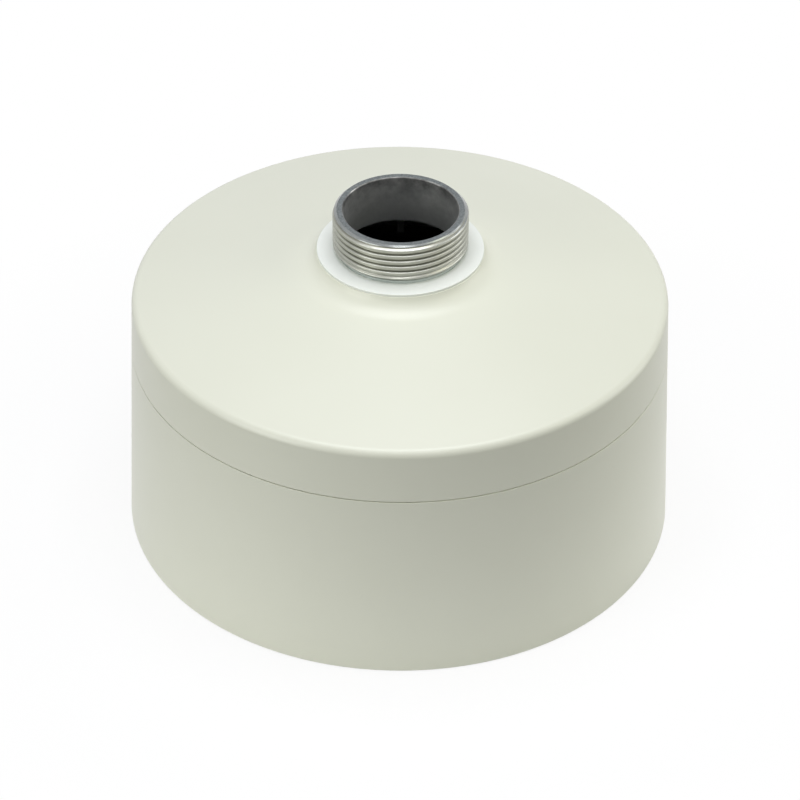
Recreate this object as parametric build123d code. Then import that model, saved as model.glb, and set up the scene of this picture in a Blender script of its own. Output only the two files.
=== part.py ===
from build123d import *
import math
import os

# Camera pendant mount: a cast cap with a threaded pipe neck, and a drum-shaped skirt screwed up to it.
# It hangs by the neck and hides the base of a dome camera, which is screwed to a bracket inside it.
# Lengths are in millimetres. The origin is the middle of the skirt's lower edge, and +Z points up the neck.

# Outside of the drum. Cap and skirt share one drafted wall line, from the lower edge to the shoulder.
base_radius = 98.6
draft_angle = 2.1
seam_height = 72.9
seam_gap = 0.3
cap_rise = 20.2
shoulder_round = 3.0
lower_edge = 0.8
seam_edge = 0.3

# Neck: pipe thread size 1 1/2 on a plain bore for the cable, with a relief for the washer at its foot
neck_height = 16.85
neck_top_edge = 1.4
neck_wall = 2.2
thread_radius = 23.9
thread_depth = 1.479
relief_height = 1.5
bore_edge = 0.4
bore_foot_edge = 1.4

# Crown, and the flare that carries it up to the flat washer seat round the neck
crown_slope = 12.0
crown_wall = 2.5
flare_reach = 7.1
seat_rise = 5.49
seat_width = 5.8
hub_inset = 1.4

# Washer round the foot of the neck
neck_washer_margin = 0.2
neck_washer_thickness = 0.95
neck_washer_clearance = 0.08

# Lapped joint between cap and skirt, with a flat gasket squeezed under the cap's ledge
cap_wall = 2.8
cap_lip_wall = 1.8
ledge_rise = 4.2
ledge_height = 2.5
ledge_width = 1.3
inner_corner_leg = 1.5
lap_clearance = 0.2
gasket_thickness = 1.0
gasket_edge_clearance = 0.15

# Skirt
skirt_wall = 2.5
flange_thickness = 3.0
flange_margin = 7.0
locating_ring_wall = 2.2
flange_corner_leg = 2.0
gusset_count = 8
gusset_thickness = 2.2
gusset_size = 9.0

# Ribs under the crown
rib_count = 8
rib_thickness = 2.4
rib_depth = 6.0
rib_gap = 1.9
rib_toe = 5.0

# Screws of both joints: low heads with a hexagon socket, all driven upwards over flat washers
screw_radius = 2.0
screw_head_radius = 3.8
screw_head_height = 2.2
screw_socket_across_flats = 2.5
screw_socket_depth = 1.3
screw_hole_clearance = 0.25
tapped_clearance = 0.05
tapped_spare_depth = 2.0
washer_radius = 4.5
washer_thickness = 0.8

# Skirt joint: screw pillars of the cap, inside the skirt's locating ring
joint_count = 4
pillar_radius = 5.0
pillar_gap = 4.72
joint_screw_length = 12.0

# Camera bracket, which goes in through the flange's mouth, and the bosses that carry it
bracket_rim_gap = 6.0
bracket_margin = 7.0
bracket_thickness = 2.0
bracket_bolt_count = 4
bracket_boss_radius = 4.5
bracket_boss_length = 11.6
bracket_screw_length = 8.0
camera_hole_radius = 1.65
camera_collar_wall = 1.25
camera_collar_height = 1.5

# Tab on the bracket for the camera's safety wire
wire_tab_width = 14.0
wire_tab_height = 10.0
wire_tab_inset = 4.0
wire_tab_fold = 1.0
wire_tab_relief = 1.0
wire_hole_radius = 3.0
wire_hole_margin = 2.0

draft_run = math.tan(math.radians(draft_angle))
crown_run = math.tan(math.radians(crown_slope))
crown_drop = crown_wall / math.cos(math.radians(crown_slope))


def wall_radius(height):
    """Outside radius of the drafted wall."""
    return base_radius - height * draft_run


def crown_height(radius):
    """Outside height of the conical crown."""
    return shoulder_height + (wall_radius(shoulder_height) - radius) * crown_run


# Heights and radii that follow, from the seam up to the neck and from the neck out to the flare
cap_foot = seam_height + seam_gap / 2
skirt_top = seam_height - seam_gap / 2
flange_foot = skirt_top - flange_thickness
ledge = seam_height + ledge_rise
shoulder_height = seam_height + cap_rise
thread_root_radius = thread_radius - thread_depth
bore_radius = thread_root_radius - neck_wall
seat_radius = thread_radius + seat_width
flare_radius = seat_radius + flare_reach
seat_height = crown_height(flare_radius) + seat_rise
neck_top = seat_height + neck_height

# Radii that follow inwards from the wall: the lap, the skirt's screws, the flange's mouth and the bracket
lap_radius = wall_radius(cap_foot) - cap_lip_wall
locating_ring_radius = lap_radius - lap_clearance
locating_ring_inner_radius = locating_ring_radius - locating_ring_wall
joint_radius = locating_ring_inner_radius - pillar_gap - pillar_radius
flange_inner_radius = joint_radius - flange_margin
bracket_outer_radius = flange_inner_radius - bracket_rim_gap
bracket_bolt_radius = bracket_outer_radius - bracket_margin
bracket_inner_radius = bracket_bolt_radius - bracket_margin
bracket_top = crown_height(bracket_bolt_radius) - crown_drop - bracket_boss_length
bracket_height = bracket_top - bracket_thickness
screw_hole_radius = screw_radius + screw_hole_clearance


def turned(outline):
    """Solid turned about Z from a closed outline drawn as radius and height."""
    return revolve(Plane.XZ * make_face(outline), Axis.Z)


def turned_polygon(points):
    """Solid turned about Z from the corners of its section."""
    return turned(Polyline(*points, close=True))


def round_corner(section, corner, radius):
    """Round one corner of a section, named by its point."""
    nearest = section.vertices().sort_by_distance((corner[0], corner[1], 0))[0]
    return fillet(nearest, radius)


def break_corner(section, corner, leg):
    """Chamfer one corner of a section, named by its point."""
    nearest = section.vertices().sort_by_distance((corner[0], corner[1], 0))[0]
    return chamfer(nearest, leg)


def cylinder_up(radius, low, high, at=(0, 0)):
    """Upright cylinder between two heights."""
    standing = Cylinder(radius, high - low, align=(Align.CENTER, Align.CENTER, Align.MIN))
    return Pos(at[0], at[1], low) * standing


def around(radius, angle):
    """Point at a radius and an angle in degrees about Z."""
    return radius * math.cos(math.radians(angle)), radius * math.sin(math.radians(angle))


def even_angles(count, first=0.0):
    """Evenly spaced angles about Z, in degrees."""
    return [first + index * 360 / count for index in range(count)]


def spokes(count, thickness, first):
    """Upright radial slabs, used to cut ribs out of a turned band."""
    reach = base_radius
    slab = Pos(reach / 2, 0, neck_top / 2) * Box(reach, thickness, neck_top)
    return [Rot(0, 0, angle) * slab for angle in even_angles(count, first)]


joint_angles = even_angles(joint_count, 180 / joint_count)
bracket_angles = even_angles(bracket_bolt_count)
camera_angles = even_angles(bracket_bolt_count, 180 / bracket_bolt_count)
wire_tab_angle = (bracket_angles[1] + camera_angles[1]) / 2


def cap_section():
    """Half section of the cap casting: neck, flare, crown, wall and the ledge for the gasket."""
    lean = math.radians(crown_slope)
    cone_top = Vector(flare_radius, crown_height(flare_radius))
    seat_edge = Vector(seat_radius, seat_height)
    up_the_crown = Vector(-math.cos(lean), math.sin(lean))
    cone_under = cone_top - crown_wall * Vector(math.sin(lean), math.cos(lean))
    hub_under = Vector(seat_radius - hub_inset, seat_height - crown_wall)
    wall_in = wall_radius(shoulder_height) - cap_wall
    ledge_radius = wall_radius(ledge) - cap_wall - ledge_width
    corner_under = crown_height(wall_in) - crown_drop

    outer_shoulder = (wall_radius(shoulder_height), shoulder_height)
    outer_foot = (wall_radius(cap_foot), cap_foot)
    inner_corner = (wall_in, corner_under)
    outline = (
        Polyline(outer_foot, outer_shoulder, cone_top)
        + TangentArc(cone_top, seat_edge, tangent=up_the_crown)
        + Polyline(
            seat_edge,
            (thread_root_radius, seat_height),
            (thread_root_radius, seat_height + relief_height),
            (thread_radius, seat_height + relief_height + thread_depth),
            (thread_radius, neck_top - neck_top_edge),
            (thread_radius - neck_top_edge, neck_top),
            (bore_radius + bore_edge, neck_top),
            (bore_radius, neck_top - bore_edge),
            (bore_radius, hub_under.Y + bore_foot_edge),
            (bore_radius + bore_foot_edge, hub_under.Y),
            hub_under,
        )
        + TangentArc(cone_under, hub_under, tangent=up_the_crown)
        + Polyline(
            cone_under,
            inner_corner,
            (wall_radius(ledge) - cap_wall, ledge + ledge_height + ledge_width),
            (ledge_radius, ledge + ledge_height),
            (ledge_radius, ledge),
            (lap_radius, ledge),
            (lap_radius, cap_foot),
            outer_foot,
        )
    )
    section = make_face(outline.edges())

    section = round_corner(section, outer_shoulder, shoulder_round)
    section = break_corner(section, outer_foot, seam_edge)
    return break_corner(section, inner_corner, inner_corner_leg)


def cap_core():
    """Solid that reaches half way into the cap's wall, to trim what grows out of its inside."""
    half_drop = crown_drop / 2
    side = wall_radius(shoulder_height) - cap_wall / 2
    return turned_polygon([
        (0, skirt_top),
        (lap_radius - locating_ring_wall, skirt_top),
        (lap_radius - locating_ring_wall, ledge),
        (side, ledge),
        (side, crown_height(side) - half_drop),
        (flare_radius, crown_height(flare_radius) - half_drop),
        (seat_radius - hub_inset, seat_height - crown_wall / 2),
        (0, seat_height - crown_wall / 2),
    ])


def rib_band():
    """Turned band under the crown that the ribs are cut from."""
    rib_start = bore_radius + bore_foot_edge + rib_gap
    rib_end = wall_radius(ledge) - cap_wall / 2

    def rib_edge(radius):
        return crown_height(radius) - crown_drop - rib_depth

    hub_height = seat_height - crown_wall / 2
    return turned_polygon([
        (rib_start, hub_height),
        (rib_start, seat_height - crown_wall),
        (rib_start + rib_toe, rib_edge(rib_start + rib_toe)),
        (rib_end, rib_edge(rib_end)),
        (rib_end, hub_height),
    ])


def top_cap():
    """Cap casting with its ribs, skirt pillars and bracket bosses."""
    casting = revolve(Plane.XZ * cap_section(), Axis.Z)
    core = cap_core()
    band = rib_band()
    for slab in spokes(rib_count, rib_thickness, 0.0):
        casting += slab & band & core
    for angle in joint_angles:
        pillar = cylinder_up(pillar_radius, skirt_top, neck_top, around(joint_radius, angle))
        casting += pillar & core
    for angle in bracket_angles:
        boss = cylinder_up(bracket_boss_radius, bracket_top, neck_top, around(bracket_bolt_radius, angle))
        casting += boss & core

    tapped_radius = screw_radius + tapped_clearance
    joint_reach = joint_screw_length - washer_thickness - flange_thickness + tapped_spare_depth
    for angle in joint_angles:
        at = around(joint_radius, angle)
        casting -= cylinder_up(tapped_radius, skirt_top, skirt_top + joint_reach, at)
    bracket_reach = bracket_screw_length - washer_thickness - bracket_thickness + tapped_spare_depth
    for angle in bracket_angles:
        at = around(bracket_bolt_radius, angle)
        casting -= cylinder_up(tapped_radius, bracket_top, bracket_top + bracket_reach, at)
    return casting


def neck_washer():
    """Soft ring that lies on the seat, snapped over the thread into the relief below it."""
    inner = thread_root_radius + neck_washer_clearance
    outer = seat_radius - neck_washer_margin
    return turned_polygon([
        (inner, seat_height),
        (outer, seat_height),
        (outer, seat_height + neck_washer_thickness),
        (inner, seat_height + neck_washer_thickness),
    ])


def skirt():
    """Skirt casting: drafted wall, screw flange with gussets, and the ring that locates it in the cap."""
    outer_foot = (wall_radius(0), 0)
    outer_top = (wall_radius(skirt_top), skirt_top)
    flange_corner = (wall_radius(flange_foot) - skirt_wall, flange_foot)
    section = make_face(Polyline(
        outer_foot,
        outer_top,
        (locating_ring_radius, skirt_top),
        (locating_ring_radius, ledge - gasket_thickness),
        (locating_ring_inner_radius, ledge - gasket_thickness),
        (locating_ring_inner_radius, skirt_top),
        (flange_inner_radius, skirt_top),
        (flange_inner_radius, flange_foot),
        flange_corner,
        (wall_radius(0) - skirt_wall, 0),
        close=True,
    ))

    section = break_corner(section, outer_foot, lower_edge)
    section = break_corner(section, outer_top, seam_edge)
    section = break_corner(section, flange_corner, flange_corner_leg)
    casting = revolve(Plane.XZ * section, Axis.Z)

    wall_face = wall_radius(flange_foot) - skirt_wall
    buried = skirt_wall / 2
    gusset_band = turned_polygon([
        (wall_face - gusset_size, flange_foot),
        (wall_face, flange_foot - gusset_size),
        (wall_face + buried, flange_foot - gusset_size),
        (wall_face + buried, flange_foot + buried),
        (wall_face - gusset_size, flange_foot + buried),
    ])
    for slab in spokes(gusset_count, gusset_thickness, 180 / gusset_count):
        casting += slab & gusset_band
    for angle in joint_angles:
        casting -= cylinder_up(screw_hole_radius, flange_foot, skirt_top, around(joint_radius, angle))
    return casting


def seam_gasket():
    """Flat rubber ring between the skirt's locating ring and the cap's ledge."""
    return turned_polygon([
        (locating_ring_inner_radius + gasket_edge_clearance, ledge - gasket_thickness),
        (locating_ring_radius - gasket_edge_clearance, ledge - gasket_thickness),
        (locating_ring_radius - gasket_edge_clearance, ledge),
        (locating_ring_inner_radius + gasket_edge_clearance, ledge),
    ])


def socket_screw(length, bearing_height, at):
    """Socket screw driven upwards, with the underside of its low head at the bearing height."""
    blank = cylinder_up(screw_head_radius, -screw_head_height, 0) + cylinder_up(screw_radius, 0, length)
    socket = RegularPolygon(screw_socket_across_flats / 2, 6, major_radius=False)
    socket = Pos(0, 0, -screw_head_height) * extrude(socket, screw_socket_depth)
    return Pos(at[0], at[1], bearing_height) * (blank - socket)


def flat_washer(top, at):
    """Flat washer under a screw head, given the height of the face that it bears on."""
    low = top - washer_thickness
    return cylinder_up(washer_radius, low, top, at) - cylinder_up(screw_hole_radius, low, top, at)


def wire_tab():
    """Tab folded up from the bracket's inner edge, with a hole for a safety wire, and its relief notch."""
    root = bracket_inner_radius + wire_tab_inset
    inner_face = bracket_inner_radius - bracket_thickness
    outer_face = inner_face + bracket_thickness
    tab_top = bracket_top + wire_tab_height
    outer_corner = (inner_face, bracket_height)
    inner_corner = (outer_face, bracket_top)
    section = make_face(Polyline(
        (root, bracket_height),
        outer_corner,
        (inner_face, tab_top),
        (outer_face, tab_top),
        inner_corner,
        (root, bracket_top),
        close=True,
    ))
    section = round_corner(section, outer_corner, wire_tab_fold + bracket_thickness)
    section = round_corner(section, inner_corner, wire_tab_fold)
    tab = extrude(Plane.XZ * section, wire_tab_width / 2, both=True)
    hole_height = tab_top - wire_hole_margin - wire_hole_radius
    hole = Rot(0, 90, 0) * Cylinder(wire_hole_radius, 2 * root)
    tab -= Pos(0, 0, hole_height) * hole
    notch_length = root - inner_face
    notch = Box(notch_length, wire_tab_width + 2 * wire_tab_relief, bracket_thickness)
    notch = Pos(root - notch_length / 2, 0, bracket_height + bracket_thickness / 2) * notch
    return Rot(0, 0, wire_tab_angle) * tab, Rot(0, 0, wire_tab_angle) * notch


def camera_bracket():
    """Pressed steel ring for the camera, with drawn and tapped collars and the safety wire's tab."""
    collar_top = bracket_top + camera_collar_height
    collar_radius = camera_hole_radius + camera_collar_wall
    tab, notch = wire_tab()
    ring = cylinder_up(bracket_outer_radius, bracket_height, bracket_top)
    ring -= cylinder_up(bracket_inner_radius, bracket_height, bracket_top)
    ring = ring - notch + tab
    for angle in camera_angles:
        at = around(bracket_bolt_radius, angle)
        ring += cylinder_up(collar_radius, bracket_height, collar_top, at)
        ring -= cylinder_up(camera_hole_radius, bracket_height, collar_top, at)
    for angle in bracket_angles:
        at = around(bracket_bolt_radius, angle)
        ring -= cylinder_up(screw_hole_radius, bracket_height, bracket_top, at)
    return ring


def screwed_joint(name, angles, radius, face, length):
    """Screws and washers of one joint, driven up against a downward face."""
    pieces = {}
    for index, angle in enumerate(angles, start=1):
        at = around(radius, angle)
        pieces[f"{name}_screw_{index}"] = socket_screw(length, face - washer_thickness, at)
        pieces[f"{name}_washer_{index}"] = flat_washer(face, at)
    return pieces


pieces = {
    "top_cap": top_cap(),
    "neck_washer": neck_washer(),
    "skirt": skirt(),
    "seam_gasket": seam_gasket(),
    "camera_bracket": camera_bracket(),
}
pieces |= screwed_joint("joint", joint_angles, joint_radius, flange_foot, joint_screw_length)
pieces |= screwed_joint(
    "bracket", bracket_angles, bracket_bolt_radius, bracket_height, bracket_screw_length
)

os.makedirs("parts", exist_ok=True)
for name, piece in pieces.items():
    export_step(piece, f"parts/{name}.step")
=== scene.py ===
import math

import bmesh
import bpy
import numpy as np
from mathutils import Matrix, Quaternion, Vector


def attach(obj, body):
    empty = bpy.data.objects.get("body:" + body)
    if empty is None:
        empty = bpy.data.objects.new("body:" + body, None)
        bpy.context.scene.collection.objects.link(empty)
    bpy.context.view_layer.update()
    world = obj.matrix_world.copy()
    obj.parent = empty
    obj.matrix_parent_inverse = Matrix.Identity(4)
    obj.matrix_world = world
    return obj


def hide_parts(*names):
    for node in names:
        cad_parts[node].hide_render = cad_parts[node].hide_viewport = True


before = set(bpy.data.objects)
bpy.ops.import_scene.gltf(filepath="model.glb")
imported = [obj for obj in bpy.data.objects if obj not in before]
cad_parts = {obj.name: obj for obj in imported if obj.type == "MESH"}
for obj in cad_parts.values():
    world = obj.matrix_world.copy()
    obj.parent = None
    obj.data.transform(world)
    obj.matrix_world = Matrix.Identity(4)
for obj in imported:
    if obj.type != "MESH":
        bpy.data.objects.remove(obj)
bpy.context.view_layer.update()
scene = bpy.context.scene
scene.view_settings.view_transform = "Standard"

# Camera: a long lens, well over a metre away, looks down on the crown from the front. It leans by half a
# degree, which is why the upright neck seems to tip to the right.
eye = Vector((0, -1.07909, 0.84986))
aim = Vector((0.00027, 0, 0.04465))
lean = Quaternion((0, 0, 1), 0.0079)
camera = bpy.data.objects.new("camera", bpy.data.cameras.new("camera"))
camera.data.lens = 166.95
camera.location = eye
camera.rotation_euler = ((aim - eye).to_track_quat("-Z", "Y") @ lean).to_euler()
scene.collection.objects.link(camera)
scene.camera = camera


# Floor: a small round table in white. The camera sees it washed out, apart from a faint shadow round the
# skirt's foot. Inside the skirt the paper is painted black, as painted shade, since no light reaches in
# there.
table_radius = 0.27
table_height = -0.0003
painted_shade_radius = 0.0975


def add_node(tree, kind, inputs, **settings):
    """One shader node. An input is a value or another node's output."""
    made = tree.nodes.new(kind)
    for key, value in settings.items():
        setattr(made, key, value)
    for key, value in inputs.items():
        if isinstance(value, bpy.types.NodeSocket):
            tree.links.new(value, made.inputs[key])
        else:
            made.inputs[key].default_value = value
    return made


def worked_out(tree, operation, first, second):
    """Number that the shader works out from two others."""
    return add_node(tree, "ShaderNodeMath", {0: first, 1: second}, operation=operation).outputs[0]


def from_axis(tree):
    """Distance in metres from the neck's axis."""
    place = tree.nodes.new("ShaderNodeTexCoord").outputs["Object"]
    flat = add_node(tree, "ShaderNodeVectorMath", {0: place, 1: (1, 1, 0)}, operation="MULTIPLY")
    return add_node(tree, "ShaderNodeVectorMath", {0: flat.outputs[0]}, operation="LENGTH").outputs["Value"]


def seen_directly(tree):
    """1 for what the camera sees itself, in a reflection or through glass, and 0 for light on things."""
    path = tree.nodes.new("ShaderNodeLightPath")
    seen = path.outputs["Is Camera Ray"]
    for ray in ("Is Glossy Ray", "Is Transmission Ray"):
        seen = add_node(tree, "ShaderNodeMath", {0: seen, 1: path.outputs[ray]},
                        operation="ADD", use_clamp=True).outputs[0]
    return seen


def white_table():
    """Matt paper, black as painted shade under the skirt. To the camera it glows white, a little less round
    the skirt.
    """
    material = bpy.data.materials.new("white_table")
    material.use_nodes = True
    tree = material.node_tree
    tree.nodes.clear()
    seen = seen_directly(tree)
    distance = from_axis(tree)
    # Painted shade: the paper under the skirt is black, where no light reaches.
    outside = worked_out(tree, "GREATER_THAN", distance, painted_shade_radius)
    mottle = add_node(tree, "ShaderNodeTexNoise", {"Scale": 3.0, "Detail": 2.0})
    tint = add_node(tree, "ShaderNodeMapRange", {"Value": mottle.outputs["Fac"],
                                                 "To Min": 0.78, "To Max": 0.82})
    pale = worked_out(tree, "MAXIMUM", tint.outputs["Result"], seen)
    paper = worked_out(tree, "MULTIPLY", pale, outside)
    sheet = add_node(tree, "ShaderNodeBsdfDiffuse", {"Color": paper})
    fade = add_node(tree, "ShaderNodeMapRange", {"Value": distance, "From Min": 0.12, "From Max": 0.22,
                                                 "To Min": 0.85, "To Max": 1.0})
    washed = worked_out(tree, "MULTIPLY", outside, fade.outputs["Result"])
    share = worked_out(tree, "MULTIPLY", seen, washed)
    glow = add_node(tree, "ShaderNodeEmission", {"Color": (1, 1, 1, 1), "Strength": 1.0})
    blend = add_node(tree, "ShaderNodeMixShader", {0: share, 1: sheet.outputs[0], 2: glow.outputs[0]})
    add_node(tree, "ShaderNodeOutputMaterial", {"Surface": blend.outputs[0]})
    return material


turns = [step * math.pi / 90 for step in range(180)]
rim = [(table_radius * math.cos(turn), table_radius * math.sin(turn), table_height) for turn in turns]
floor_mesh = bpy.data.meshes.new("floor")
floor_mesh.from_pydata(rim, [], [range(len(rim))])
floor_mesh.materials.append(white_table())
floor = bpy.data.objects.new("floor", floor_mesh)
scene.collection.objects.link(floor)


# Room: white all round to the camera and in what the paint and the metal mirror. Next to no light comes
# from it, so that the lamps alone give the mount its shading.
world = bpy.data.worlds.new("studio")
scene.world = world
world.use_nodes = True
tree = world.node_tree
tree.nodes.clear()
room = add_node(tree, "ShaderNodeBackground", {"Color": (1, 1, 1, 1), "Strength": 0.01})
white = add_node(tree, "ShaderNodeBackground", {"Color": (1, 1, 1, 1), "Strength": 1.0})
blend = add_node(tree, "ShaderNodeMixShader", {0: seen_directly(tree), 1: room.outputs[0],
                                               2: white.outputs[0]})
add_node(tree, "ShaderNodeOutputWorld", {"Surface": blend.outputs[0]})


# Lamps: a large soft box straight above, one at the front left, and two at the right that leave the front
# of the wall, a little right of its middle, as the darkest place. A weak strip high in front draws the
# bright lines on the neck's chamfer and the shoulder.
middle = Vector((0, 0, 0.06))


def soft_box(name, place, width, depth, power, colour):
    """Oblong lamp that faces the middle of the mount. Its places and sizes are in metres."""
    lamp = bpy.data.objects.new(name, bpy.data.lights.new(name, "AREA"))
    lamp.data.shape = "RECTANGLE"
    lamp.data.size = width
    lamp.data.size_y = depth
    lamp.data.energy = power
    lamp.data.color = colour
    lamp.location = place
    lamp.rotation_euler = (middle - Vector(place)).to_track_quat("-Z", "Y").to_euler()
    scene.collection.objects.link(lamp)


soft_box("lamp_top", (0.0, 0.0, 1.70), width=1.2, depth=1.2, power=22.3, colour=(0.93, 0.946, 1.0))
soft_box("lamp_front_left", (-1.13, -0.85, 0.45), width=0.8, depth=0.8, power=7.85,
         colour=(0.99, 1.0, 0.953))
soft_box("lamp_right_back", (1.34, 0.20, 0.33), width=0.8, depth=0.8, power=4.4, colour=(1.0, 1.0, 0.98))
soft_box("lamp_right", (0.70, -0.20, 0.62), width=0.4, depth=0.4, power=0.88, colour=(1.0, 1.0, 0.76))
soft_box("lamp_strip", (0.06, -0.85, 1.15), width=0.6, depth=0.12, power=1.7, colour=(1.0, 1.0, 1.0))


# Cap: a die casting in satin ivory powder coat, which carries all the rest. This is its painted outside,
# from the lap's foot over the rounded shoulder and the conical crown, up the flare to the seat round the
# neck. Here and below, sizes of the mount are in millimetres.
foot_radius = 98.6
draft = math.tan(math.radians(2.1))
cap_foot = 73.05
lap_width = 1.8
shoulder_height = 93.1
shoulder_rounding = 3.0
crown_slope = math.tan(math.radians(12))
flare_radius = 36.8
flare_pull = Vector((31.20, 106.70))
seat_radius = 29.7
seat_height = 111.0
relief_radius = 22.421


def wall_radius(height):
    """Outside radius of the drafted wall that cap and skirt share."""
    return foot_radius - height * draft


def rounded(corners, steps=6):
    """Outline through corners given as radius, height and rounding."""
    line = []
    for index, (x, y, rounding) in enumerate(corners):
        here = Vector((x, y))
        if not rounding:
            line.append(here)
            continue
        back = (Vector(corners[index - 1][:2]) - here).normalized()
        on = (Vector(corners[index + 1][:2]) - here).normalized()
        half = back.angle(on) / 2
        centre = here + (back + on).normalized() * rounding / math.sin(half)
        first = (here + back * rounding / math.tan(half) - centre).normalized()
        last = (here + on * rounding / math.tan(half) - centre).normalized()
        line += [centre + rounding * first.slerp(last, step / steps) for step in range(steps + 1)]
    return line


def hollow(start, pull, end, steps):
    """Points of the curve that leaves a start towards a pull and reaches an end from there."""
    shares = [step / steps for step in range(steps + 1)]
    return [start * (1 - share) ** 2 + pull * 2 * share * (1 - share) + end * share ** 2
            for share in shares]


def turned_piece(name, outline, segments=400):
    """Piece turned about the neck's axis. Its outside is on the right of the way along the outline."""
    outline = np.array([tuple(point) for point in outline]) / 1000
    runs = np.diff(outline, axis=0)
    slopes = np.stack([runs[:, 1], -runs[:, 0]], -1)
    facing = np.zeros_like(outline)
    facing[:-1] += slopes
    facing[1:] += slopes
    facing /= np.linalg.norm(facing, axis=1)[:, None]
    angles = np.arange(segments) * 2 * math.pi / segments
    cos, sin = np.cos(angles), np.sin(angles)

    def swept(pairs):
        return np.stack([np.outer(pairs[:, 0], cos), np.outer(pairs[:, 0], sin),
                         np.outer(pairs[:, 1], np.ones(segments))], -1).reshape(-1, 3)

    quads = []
    for row in range(len(outline) - 1):
        low, high = row * segments, (row + 1) * segments
        for k in range(segments):
            after = (k + 1) % segments
            quads.append((low + k, low + after, high + after, high + k))
    mesh = bpy.data.meshes.new(name)
    mesh.from_pydata(swept(outline).tolist(), [], quads)
    mesh.shade_smooth()
    mesh.normals_split_custom_set_from_vertices(swept(facing).tolist())
    piece = bpy.data.objects.new(name, mesh)
    scene.collection.objects.link(piece)
    return piece


def new_material(name, **fixed):
    """Material with the shader's inputs that are the same all over."""
    material = bpy.data.materials.new(name)
    material.use_nodes = True
    for entry, value in fixed.items():
        material.node_tree.nodes["Principled BSDF"].inputs[entry].default_value = value
    return material


def lead(material, output, entry):
    """Leads what a node gives into the material's shader."""
    material.node_tree.links.new(output, material.node_tree.nodes["Principled BSDF"].inputs[entry])


def speckle(material, scale, detail, roughness=0.5, stretch=1.0):
    """Clouds or grain, by their scale. The stretch turns grain into lines round the axis."""
    tree = material.node_tree
    place = tree.nodes.new("ShaderNodeTexCoord").outputs["Object"]
    lined = add_node(tree, "ShaderNodeMapping", {"Vector": place, "Scale": (1, 1, stretch)})
    return add_node(tree, "ShaderNodeTexNoise", {"Vector": lined.outputs[0], "Scale": scale,
                                                 "Detail": detail, "Roughness": roughness}).outputs["Fac"]


def set_tone(material, grain, dark, light, start=0.3, end=0.7):
    """Colour that turns from dark to light where the grain goes from start to end."""
    ramp = add_node(material.node_tree, "ShaderNodeValToRGB", {"Fac": grain})
    for stop, position, colour in zip(ramp.color_ramp.elements, (start, end), (dark, light)):
        stop.position = position
        stop.color = (*colour, 1)
    lead(material, ramp.outputs["Color"], "Base Color")


def set_gloss(material, grain, low, high):
    """Roughness that goes from low to high with the grain."""
    spread = add_node(material.node_tree, "ShaderNodeMapRange", {"Value": grain, "To Min": low,
                                                                 "To Max": high})
    lead(material, spread.outputs["Result"], "Roughness")


def set_relief(material, grain, strength, depth):
    """Surface that rises and falls with the grain. The depth is in metres."""
    bump = add_node(material.node_tree, "ShaderNodeBump", {"Height": grain, "Strength": strength,
                                                           "Distance": depth})
    lead(material, bump.outputs["Normal"], "Normal")


def powder_coat():
    """Ivory polyester powder: a satin film with a fine orange peel and slightly uneven tone."""
    material = new_material("ivory_powder_coat", IOR=1.5)
    clouds = speckle(material, scale=14.0, detail=3.0)
    set_tone(material, clouds, (0.777, 0.787, 0.668), (0.797, 0.807, 0.690))
    peel = speckle(material, scale=900.0, detail=2.0)
    set_gloss(material, peel, 0.32, 0.40)
    set_relief(material, peel, strength=0.25, depth=0.00004)
    return material


paint = powder_coat()
shoulder = Vector((wall_radius(shoulder_height), shoulder_height))
flare_foot = Vector((flare_radius, shoulder_height + (shoulder.x - flare_radius) * crown_slope))
outline = rounded([
    (wall_radius(cap_foot) - lap_width, cap_foot, 0),
    (wall_radius(cap_foot), cap_foot, 0.3),
    (shoulder.x, shoulder.y, shoulder_rounding),
    (flare_foot.x, flare_foot.y, 0),
], steps=16)[:-1]
outline += hollow(flare_foot, flare_pull, Vector((seat_radius, seat_height)), 24)[:-1]
outline += rounded([
    (flare_pull.x, flare_pull.y, 0),
    (seat_radius, seat_height, 0.2),
    (relief_radius - 0.001, seat_height, 0),
])[1:]
cap = turned_piece("cap_outside", outline)
cap.data.materials.append(paint)
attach(cap, "root")
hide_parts("top_cap")


# Cap, inside: ribs, pillars, bosses and the ledge for the gasket, as they leave the die. Its faces are those
# of the solid that lie deeper than a skin, since the painted outside and the neck stand for the others.
skin = 1.0
flare_skin = 2.4
flare_fall = 0.775
neck_wall = 21.7


def inner_faces(node, name, inside):
    """Copy of the faces of a node whose middle passes a test on its radius and height."""
    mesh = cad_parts[node].data.copy()
    mesh.name = name
    mesh.materials.clear()
    work = bmesh.new()
    work.from_mesh(mesh)
    gone = []
    for face in work.faces:
        middle = face.calc_center_median() * 1000
        if not inside(math.hypot(middle.x, middle.y), middle.z):
            gone.append(face)
    bmesh.ops.delete(work, geom=gone, context="FACES")
    work.to_mesh(mesh)
    work.free()
    piece = bpy.data.objects.new(name, mesh)
    scene.collection.objects.link(piece)
    return piece


def under_the_crown(radius, height):
    """Below the roof, which is flat over the hub, falls under the flare and then under the cone."""
    if radius < seat_radius:
        roof = seat_height - skin
    elif radius < flare_radius:
        roof = seat_height - flare_skin - flare_fall * (radius - seat_radius)
    else:
        roof = shoulder_height - skin + (shoulder.x - radius) * crown_slope
    return neck_wall < radius < wall_radius(height) - skin and cap_foot + 0.05 < height < roof


def casting_in_painted_shade():
    """Aluminium left bare from the die, dull and faintly cloudy, in a near-black grey that is painted shade.
    """
    material = new_material("casting_in_painted_shade", Metallic=0.3, Roughness=0.65)
    clouds = speckle(material, scale=60.0, detail=5.0, roughness=0.6)
    set_tone(material, clouds, (0.055, 0.055, 0.053), (0.11, 0.11, 0.107), end=0.75)
    grain = speckle(material, scale=1400.0, detail=3.0)
    set_relief(material, grain, strength=0.3, depth=0.0001)
    return material


casting = casting_in_painted_shade()
cap_inside = inner_faces("top_cap", "cap_inside", under_the_crown)
cap_inside.data.materials.append(casting)
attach(cap_inside, "root")
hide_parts("top_cap")


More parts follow.
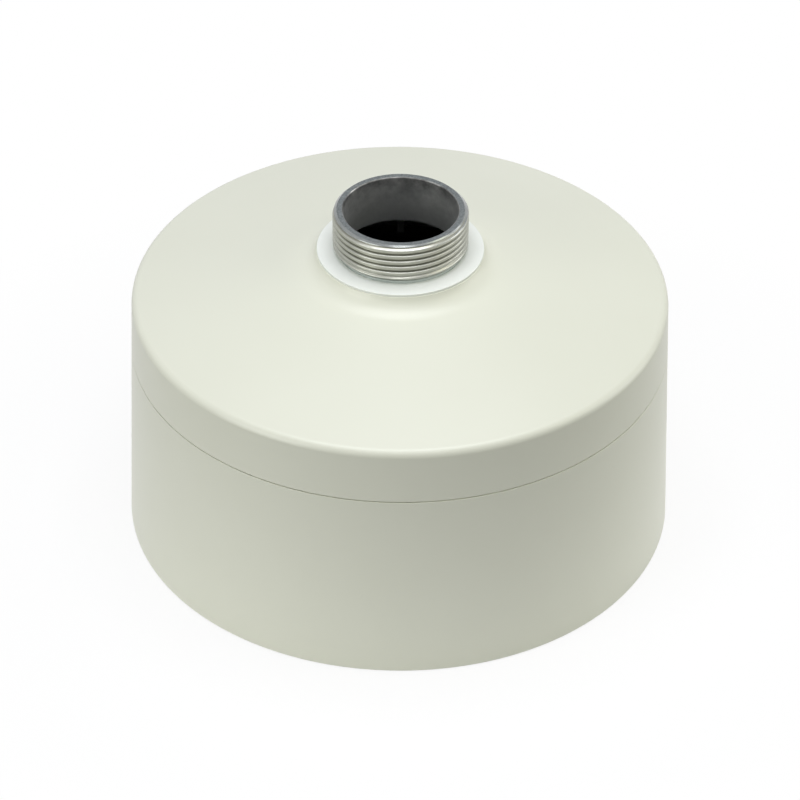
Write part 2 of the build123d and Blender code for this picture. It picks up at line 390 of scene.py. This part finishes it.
# Neck: cast with the cap and left bare. Its outside is cut with a right-hand pipe thread, 11 to the inch,
# with flat crests. It starts in the chamfer at the top and fades out over the smooth relief at the washer.
pitch = 2.309
thread_radius = 23.9
crest_height = 124.08
relief_top = 112.9
fade_foot = 112.4
fade_length = 5.2
least_depth = 0.3
neck_top = 127.85
face_radius = 22.5
around = 320
# One side of a groove, as rise and drop from the middle of a crest. The other side mirrors it.
flank = ((0.42, 0.0), (0.52, 0.04), (0.60, 0.16), (0.78, 0.50), (0.92, 0.77), (1.01, 0.90), (1.08, 0.94))
form = [(-rise, drop) for rise, drop in reversed(flank[:3])]
form += [(0.0, 0.0), *flank, (pitch / 2, 0.95)]
form += [(pitch - rise, drop) for rise, drop in reversed(flank[3:])]


def bare_metal(name, dark, light, roughness, grain_scale, stretch=1.0):
    """Bare aluminium with a grain, or with lines round the axis, in tone, gloss and surface."""
    material = new_material(name, Metallic=1.0)
    grain = speckle(material, grain_scale, detail=4.0, roughness=0.65, stretch=stretch)
    set_tone(material, grain, dark, light, start=0.32, end=0.68)
    set_gloss(material, grain, roughness + 0.06, roughness - 0.06)
    set_relief(material, grain, strength=0.25, depth=0.00005)
    return material


def shaded_by(material, tint, measure, start, end):
    """Turns a material's tone into a tint between two values of the radius or the height."""
    tree = material.node_tree
    if measure == "radius":
        value = from_axis(tree)
    else:
        place = tree.nodes.new("ShaderNodeTexCoord").outputs["Object"]
        value = add_node(tree, "ShaderNodeSeparateXYZ", {0: place}).outputs["Z"]
    share = add_node(tree, "ShaderNodeMapRange", {"Value": value, "From Min": start / 1000,
                                                  "From Max": end / 1000})
    old = tree.nodes["Principled BSDF"].inputs["Base Color"].links[0].from_socket
    blend = add_node(tree, "ShaderNodeMixRGB", {"Fac": share.outputs["Result"], "Color1": old,
                                                "Color2": (*tint, 1)})
    lead(material, blend.outputs["Color"], "Base Color")


# The surface is one ribbon of rows, and each of them climbs by the pitch on its way round.
points, quads = [], []
rows = [(turn * pitch + rise, drop) for turn in range(-7, 3) for rise, drop in form]
for rise, drop in rows:
    for k in range(around + 1):
        height = min(max(crest_height + rise + pitch * k / around, seat_height), neck_top)
        depth = drop * min(1.0, max(least_depth, (height - fade_foot) / fade_length))
        relief = relief_radius + max(0.0, height - relief_top)
        radius = min(thread_radius - depth, face_radius + neck_top - height, relief)
        angle = 2 * math.pi * k / around
        points.append((radius * math.cos(angle) / 1000, radius * math.sin(angle) / 1000, height / 1000))
for row in range(len(rows) - 1):
    for k in range(around):
        low, high = row * (around + 1) + k, (row + 1) * (around + 1) + k
        quads.append((low, low + 1, high + 1, high))
mesh = bpy.data.meshes.new("neck_thread")
mesh.from_pydata(points, [], quads)
# The rows' ends meet, and so do the rows that the seat or the neck's top holds back. They are merged.
work = bmesh.new()
work.from_mesh(mesh)
bmesh.ops.remove_doubles(work, verts=work.verts, dist=0.000004)
bmesh.ops.dissolve_degenerate(work, edges=work.edges, dist=0.000004)
chamfer = (face_radius + neck_top - 0.02) / 1000
for facet in work.faces:
    on_chamfer = all(math.hypot(corner.co.x, corner.co.y) + corner.co.z > chamfer for corner in facet.verts)
    facet.material_index = 1 if on_chamfer else 0
work.to_mesh(mesh)
work.free()
mesh.shade_smooth()
thread = bpy.data.objects.new("neck_thread", mesh)
scene.collection.objects.link(thread)
metal = bare_metal("cut_thread", dark=(0.32, 0.325, 0.29), light=(0.46, 0.465, 0.42),
                   roughness=0.32, grain_scale=260.0, stretch=14.0)
# Painted shade: the tone darkens into the grooves, from just under the crests down to the roots.
shaded_by(metal, (0.24, 0.24, 0.205), "radius", start=23.74, end=23.20)
# Painted reflection of the white washer: the tone turns pale blue-grey on the relief below the thread.
shaded_by(metal, (0.60, 0.64, 0.63), "height", start=113.8, end=112.8)
thread.data.materials.append(metal)
thread.data.materials.append(bare_metal(
    "cut_chamfer", dark=(0.21, 0.225, 0.225), light=(0.33, 0.345, 0.34),
    roughness=0.24, grain_scale=260.0, stretch=14.0))
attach(thread, "root")
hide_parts("top_cap")


# Neck, end face: the casting's own metal, faced in the lathe and left bare. It shows the casting's
# structure as fine grey specks.
bore_radius = 20.221
bore_edge = 0.4
face = turned_piece("neck_face", [
    Vector((face_radius, neck_top)),
    Vector((bore_radius + bore_edge, neck_top)),
], around)
face.data.materials.append(bare_metal(
    "faced_end", dark=(0.088, 0.098, 0.10), light=(0.205, 0.222, 0.226), roughness=0.5, grain_scale=1500.0))
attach(face, "root")
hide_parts("top_cap")


# Neck, bore: the way in for the cable, cast to size in the same metal. It keeps the die's dark and mottled
# skin, and its edge is broken at both ends.
bore_middle = 120
bore_foot = 108.5
foot_edge = 1.4
bore = turned_piece("neck_bore", [
    Vector((bore_radius + bore_edge, neck_top)),
    Vector((bore_radius, neck_top - bore_edge)),
    Vector((bore_radius, bore_middle)),
    Vector((bore_radius, bore_foot + foot_edge)),
    Vector((bore_radius + foot_edge, bore_foot)),
    Vector((neck_wall + 0.02, bore_foot)),
], around)
metal = bare_metal("cast_bore", dark=(0.05, 0.05, 0.05), light=(0.50, 0.50, 0.49),
                   roughness=0.5, grain_scale=85.0)
# The tone turns pale towards the foot of the bore.
shaded_by(metal, (0.86, 0.89, 0.88), "height", start=128, end=105)
bore.data.materials.append(metal)
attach(bore, "root")
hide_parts("top_cap")


# Neck washer: a soft white ring that seals the seat against the pipe's socket. It is pushed down over the
# thread and snaps into the relief under it.
washer_bore = 22.501
washer_radius = 29.5
washer_top = 111.95
washer = turned_piece("white_washer", rounded([
    (washer_bore, seat_height, 0),
    (washer_radius, seat_height, 0.1),
    (washer_radius, washer_top, 0.2),
    (washer_bore, washer_top, 0.1),
    (washer_bore, seat_height, 0),
]))
seal = new_material("white_seal", Roughness=0.45)
clouds = speckle(seal, scale=120.0, detail=3.0)
set_tone(seal, clouds, (0.86, 0.885, 0.83), (0.91, 0.935, 0.88), start=0.0, end=1.0)
set_relief(seal, clouds, strength=0.2, depth=0.00005)
washer.data.materials.append(seal)
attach(washer, "root")
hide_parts("neck_washer")


# Skirt: the lower casting, in the same powder coat, drawn up to the cap by four screws inside. This is its
# outside, from the foot up to the seam.
foot_width = 2.5
skirt_top = 72.75
rim_width = 2.0
skirt = turned_piece("skirt_outside", rounded([
    (wall_radius(0) - foot_width, 0, 0),
    (wall_radius(0), 0, 0.8),
    (wall_radius(skirt_top), skirt_top, 0.3),
    (wall_radius(cap_foot) - rim_width, skirt_top, 0),
], steps=10))
skirt.data.materials.append(paint)
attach(skirt, "root")
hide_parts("skirt")


# Skirt, inside: the flange with its gussets and screw holes, and the ring that locates the skirt in the cap.
# It is left as cast, like the inside of the cap, and shares its near-black tone of painted shade.
seam_ring = 94


def inside_the_skirt(radius, height):
    """Within the wall, and without the top edge that the painted outside stands for."""
    at_seam = radius > seam_ring and height > skirt_top - 0.05
    return height > 0.1 and radius < wall_radius(height) - skin and not at_seam


skirt_inside = inner_faces("skirt", "skirt_inside", inside_the_skirt)
skirt_inside.data.materials.append(casting)
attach(skirt_inside, "root")
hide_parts("skirt")


# Seam gasket: a black rubber ring of square section, squeezed on the cap's ledge by the skirt. It needs no
# piece of its own, so the solid takes the rubber's look.
def plain_grained(name, dark, light, metallic, roughness, scale, depth):
    """Material with a fine grain in its tone, gloss and surface."""
    material = new_material(name, Metallic=metallic)
    grain = speckle(material, scale, detail=4.0)
    set_tone(material, grain, dark, light)
    set_gloss(material, grain, roughness - 0.05, roughness + 0.05)
    set_relief(material, grain, strength=0.3, depth=depth)
    return material


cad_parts["seam_gasket"].data.materials[0] = plain_grained(
    "black_rubber", dark=(0.018, 0.018, 0.018), light=(0.035, 0.035, 0.034),
    metallic=0.0, roughness=0.7, scale=500.0, depth=0.00005)


# Camera bracket: a steel ring in bright zinc plate, with the cloudy grain of the bath. Four screws hold it
# against the cap's bosses, and its upright tab takes the safety wire.
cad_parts["camera_bracket"].data.materials[0] = plain_grained(
    "zinc_plate", dark=(0.50, 0.52, 0.54), light=(0.62, 0.635, 0.63),
    metallic=1.0, roughness=0.38, scale=220.0, depth=0.00002)


# Screws and their washers, in plain stainless steel: four through the skirt's flange into the cap, and four
# through the bracket. The washers are stamped and a little duller than the turned heads.
steel = plain_grained(
    "stainless_steel", dark=(0.56, 0.55, 0.53), light=(0.66, 0.65, 0.63),
    metallic=1.0, roughness=0.28, scale=600.0, depth=0.00002)
stamped = plain_grained(
    "stamped_steel", dark=(0.46, 0.455, 0.44), light=(0.56, 0.55, 0.535),
    metallic=1.0, roughness=0.42, scale=350.0, depth=0.00003)
for name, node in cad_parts.items():
    if "screw" in name:
        node.data.materials[0] = steel
    elif "washer" in name and name != "neck_washer":
        node.data.materials[0] = stamped
